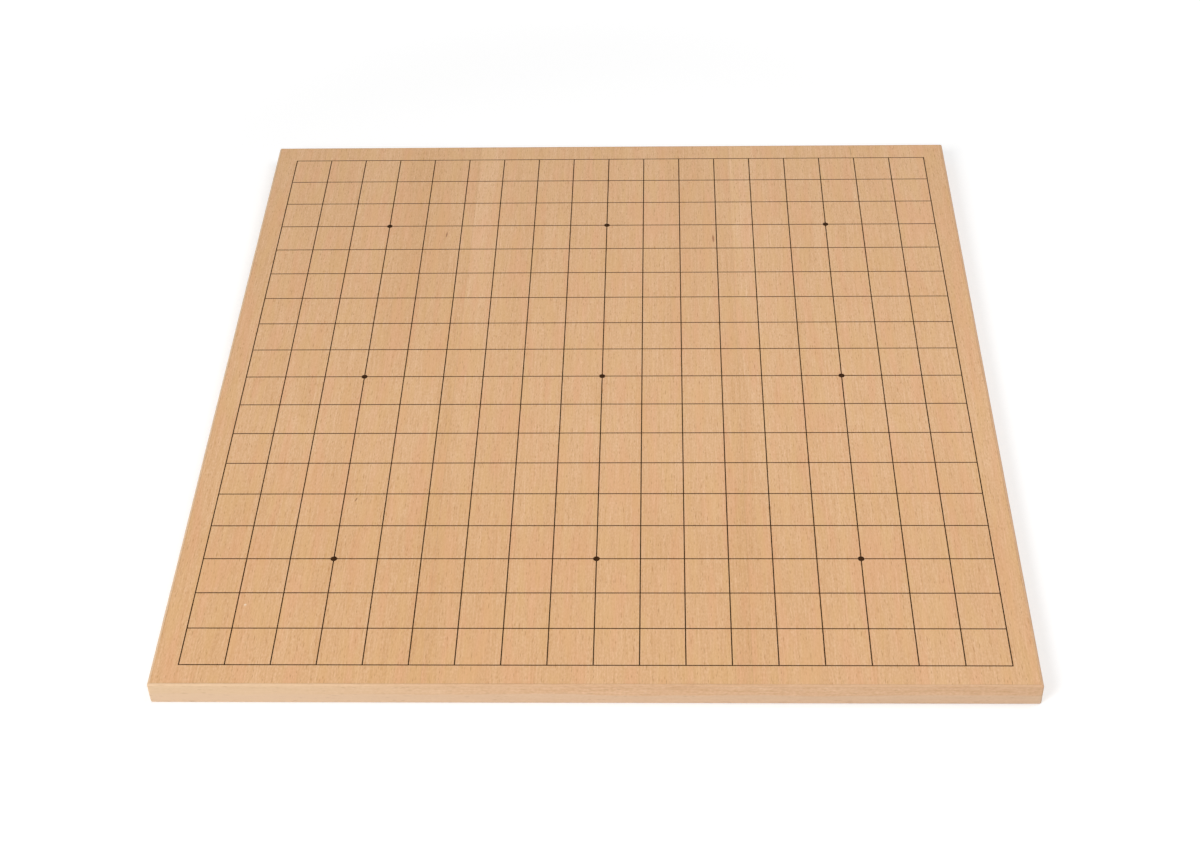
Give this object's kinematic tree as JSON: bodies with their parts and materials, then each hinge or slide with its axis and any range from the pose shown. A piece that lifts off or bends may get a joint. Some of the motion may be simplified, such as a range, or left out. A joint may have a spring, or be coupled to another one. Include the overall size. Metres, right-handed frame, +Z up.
{
  "type": "weiqi board",
  "caption": "Flat rectangular wooden game board with a printed square grid and star points, a veneered panel with banded edges, for play with stones on a table.",
  "frame": {"origin": "centre of the underside, on the surface the board lies on", "axes": "+Z up, +Y away from the player along the longer side and the grain, +X to the player's right"},
  "size_m": [0.422, 0.4546, 0.0126],
  "materials": {
    "core": "raw fibreboard",
    "veneer": "satin clear lacquer on beech",
    "edge_band": "satin clear lacquer on beech",
    "ink": "matte black ink"
  },
  "bodies": {
    "root": {"core_panel": "core", "top_veneer_left": "veneer", "top_veneer_middle": "veneer", "top_veneer_right": "veneer", "bottom_veneer_left": "veneer", "bottom_veneer_middle": "veneer", "bottom_veneer_right": "veneer", "edge_band_front": "edge_band", "edge_band_back": "edge_band", "edge_band_left": "edge_band", "edge_band_right": "edge_band", "grid_lines": "ink", "star_points": "ink"}
  },
  "joints": []
}
